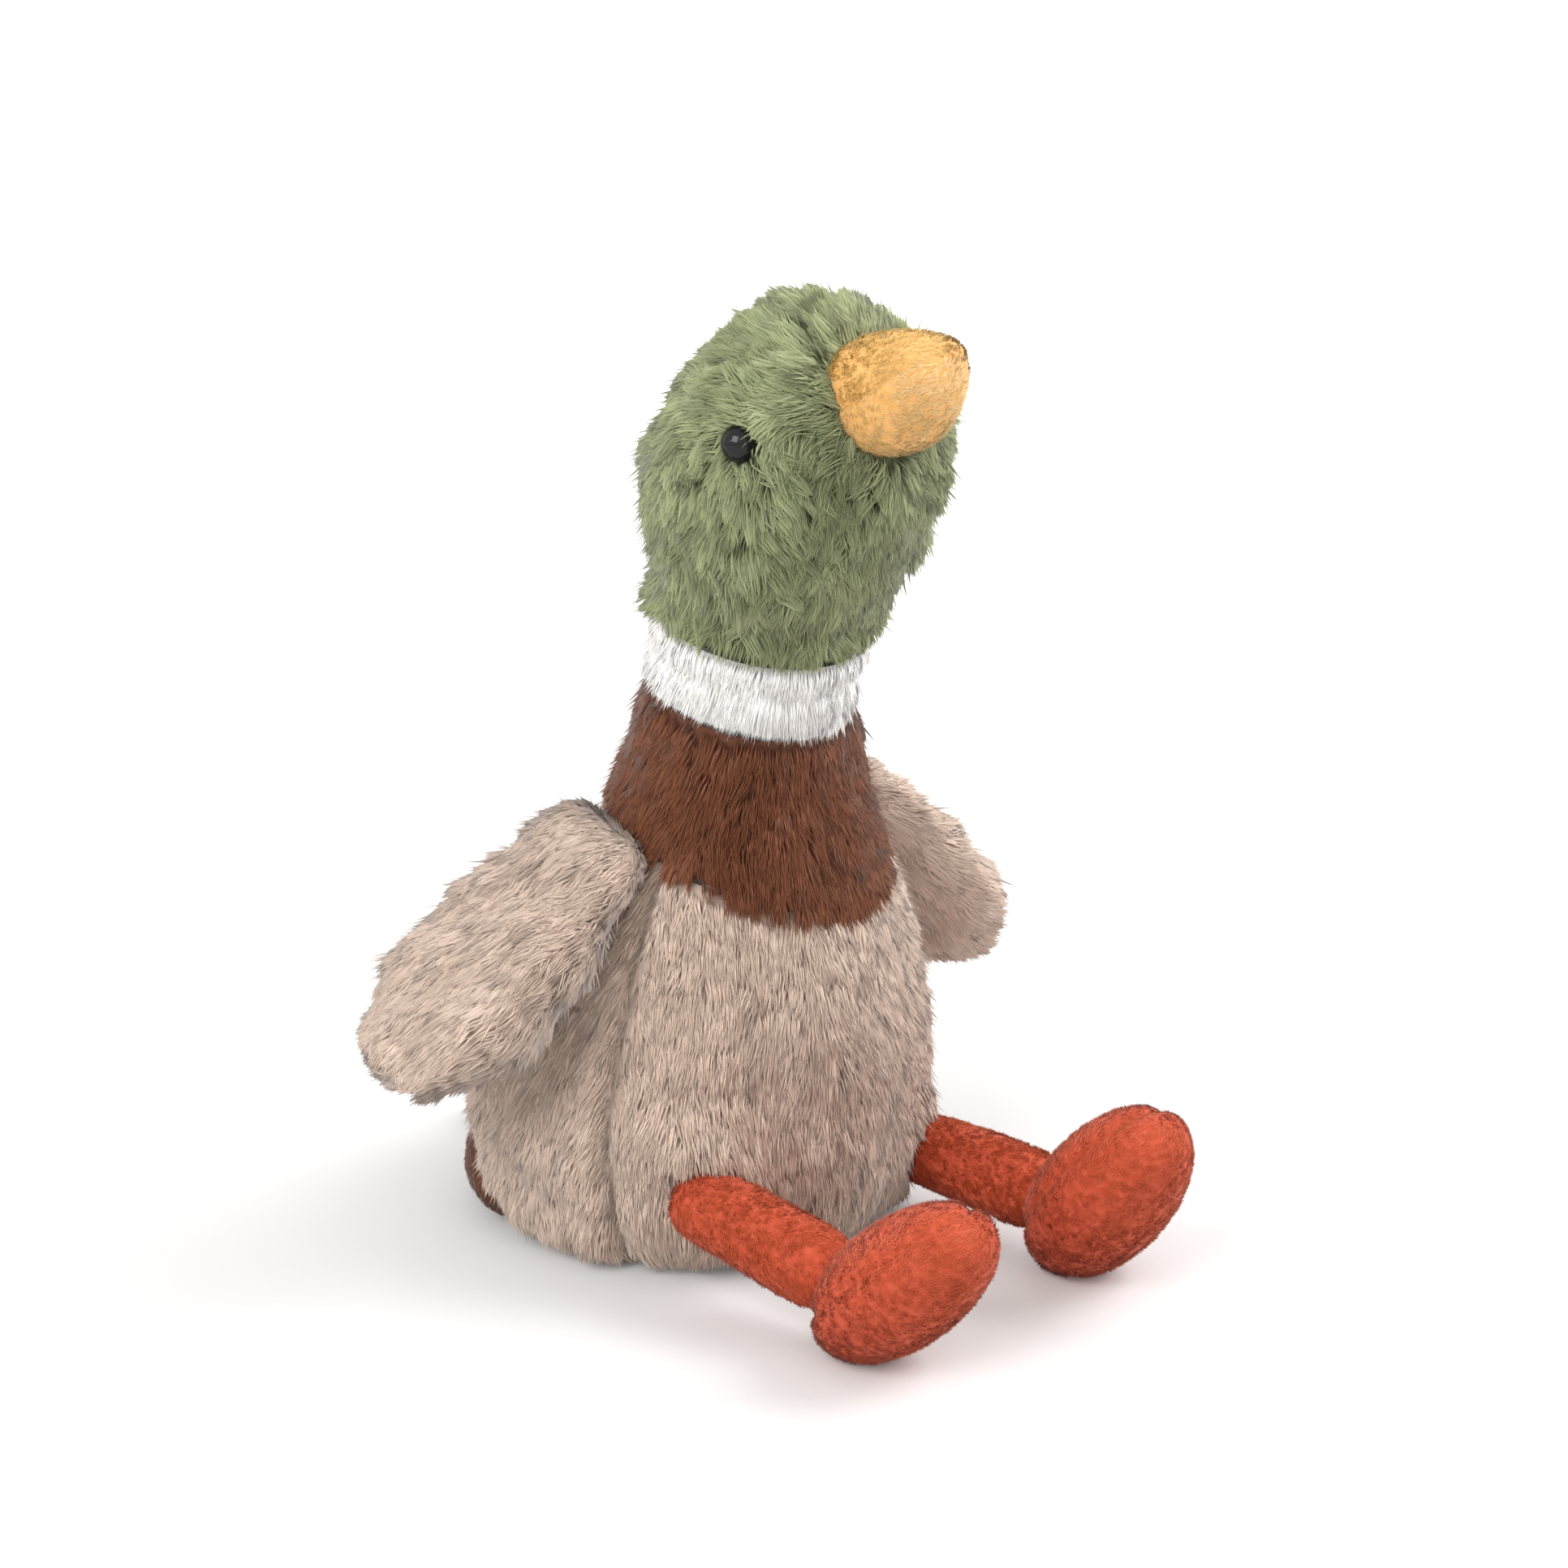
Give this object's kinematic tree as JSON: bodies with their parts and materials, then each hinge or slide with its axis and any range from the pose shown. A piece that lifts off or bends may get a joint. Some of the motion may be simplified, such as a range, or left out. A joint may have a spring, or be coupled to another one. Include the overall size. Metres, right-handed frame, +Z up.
{
  "type": "plush duck",
  "caption": "Sitting stuffed duck with a shaggy green head, white neck ring, brown neck, taupe body and wings, velour bill, legs and feet, jointed at its seams.",
  "frame": {"origin": "centre of the flat base, on the surface that the toy sits on", "axes": "+Z up, -Y the way the duck faces, +X the duck's left side"},
  "size_m": [0.1717, 0.1932, 0.2242],
  "materials": {
    "taupe_pile": "soft short pile, taupe",
    "brown_pile": "soft short pile, chestnut brown",
    "white_pile": "soft pile, white",
    "green_pile": "long shaggy pile, sage green",
    "bill_velour": "short velour, golden yellow",
    "leg_velour": "short velour, rust orange",
    "eye": "glossy black dome",
    "washer": "plain white washer",
    "fibre": "loose polyester fibre",
    "linen": "plain woven bag of beans"
  },
  "bodies": {
    "torso": {"base_panel": "taupe_pile", "bean_bag": "linen", "body_back_left": "taupe_pile", "body_back_right": "taupe_pile", "body_front_panel": "taupe_pile", "body_stuffing": "fibre", "neck_cover": "brown_pile", "rump_panel": "brown_pile"},
    "ring": {"collar": "white_pile", "collar_stuffing": "fibre"},
    "head": {"bill_lower": "bill_velour", "bill_stuffing": "fibre", "bill_upper": "bill_velour", "eye_left": "eye", "eye_right": "eye", "eye_washer_left": "washer", "eye_washer_right": "washer", "head_gusset": "green_pile", "head_side_left": "green_pile", "head_side_right": "green_pile", "head_stuffing": "fibre"},
    "wing_left": {"wing_left_inner": "taupe_pile", "wing_left_outer": "taupe_pile", "wing_left_stuffing": "fibre"},
    "wing_right": {"wing_right_inner": "taupe_pile", "wing_right_outer": "taupe_pile", "wing_right_stuffing": "fibre"},
    "leg_left": {"leg_left_cover": "leg_velour", "leg_left_stuffing": "fibre"},
    "leg_right": {"leg_right_cover": "leg_velour", "leg_right_stuffing": "fibre"},
    "foot_left": {"foot_left_sole": "leg_velour", "foot_left_stuffing": "fibre", "foot_left_upper": "leg_velour"},
    "foot_right": {"foot_right_sole": "leg_velour", "foot_right_stuffing": "fibre", "foot_right_upper": "leg_velour"},
    "tail": {"tail_lower": "brown_pile", "tail_stuffing": "fibre", "tail_upper": "brown_pile"}
  },
  "joints": [
    {"name": "head_turn", "type": "hinge", "parent": "torso", "child": "ring", "pos_m": [0, -0.02, 0.1295], "axis": [0, -0.2419, 0.9703], "range_deg": [-30, 30], "stiffness_Nm_per_rad": 0.4},
    {"name": "head_nod", "type": "hinge", "parent": "ring", "child": "head", "pos_m": [0, -0.02903, 0.1657], "axis": [1, 0, 0], "range_deg": [-15, 20], "stiffness_Nm_per_rad": 0.4},
    {"name": "wing_left_raise", "type": "hinge", "parent": "torso", "child": "wing_left", "pos_m": [0.03923, -0.00813, 0.09609], "axis": [0.2879, -0.9367, 0.1993], "range_deg": [0, 90]},
    {"name": "wing_right_raise", "type": "hinge", "parent": "torso", "child": "wing_right", "pos_m": [-0.03669, -0.00898, 0.09894], "axis": [0.1858, 0.9638, 0.191], "range_deg": [0, 90]},
    {"name": "leg_left_swing", "type": "hinge", "parent": "torso", "child": "leg_left", "pos_m": [0.03193, -0.04925, 0.0155], "axis": [-0.9986, -0.0523, -0.001], "range_deg": [-20, 20]},
    {"name": "leg_right_swing", "type": "hinge", "parent": "torso", "child": "leg_right", "pos_m": [-0.03806, -0.04636, 0.0225], "axis": [-0.9947, -0.1012, -0.0183], "range_deg": [-20, 20]},
    {"name": "foot_left_flex", "type": "hinge", "parent": "leg_left", "child": "foot_left", "pos_m": [0.03392, -0.08719, 0.01477], "axis": [-0.9986, -0.0523, -0.001], "range_deg": [-10, 10], "stiffness_Nm_per_rad": 0.04},
    {"name": "foot_right_flex", "type": "hinge", "parent": "leg_right", "child": "foot_right", "pos_m": [-0.03415, -0.08356, 0.01577], "axis": [-0.9947, -0.1012, -0.0183], "range_deg": [-10, 10], "stiffness_Nm_per_rad": 0.04},
    {"name": "tail_lift", "type": "hinge", "parent": "torso", "child": "tail", "pos_m": [0, 0.05438, 0.0068], "axis": [1, 0, 0], "range_deg": [0, 40]}
  ]
}
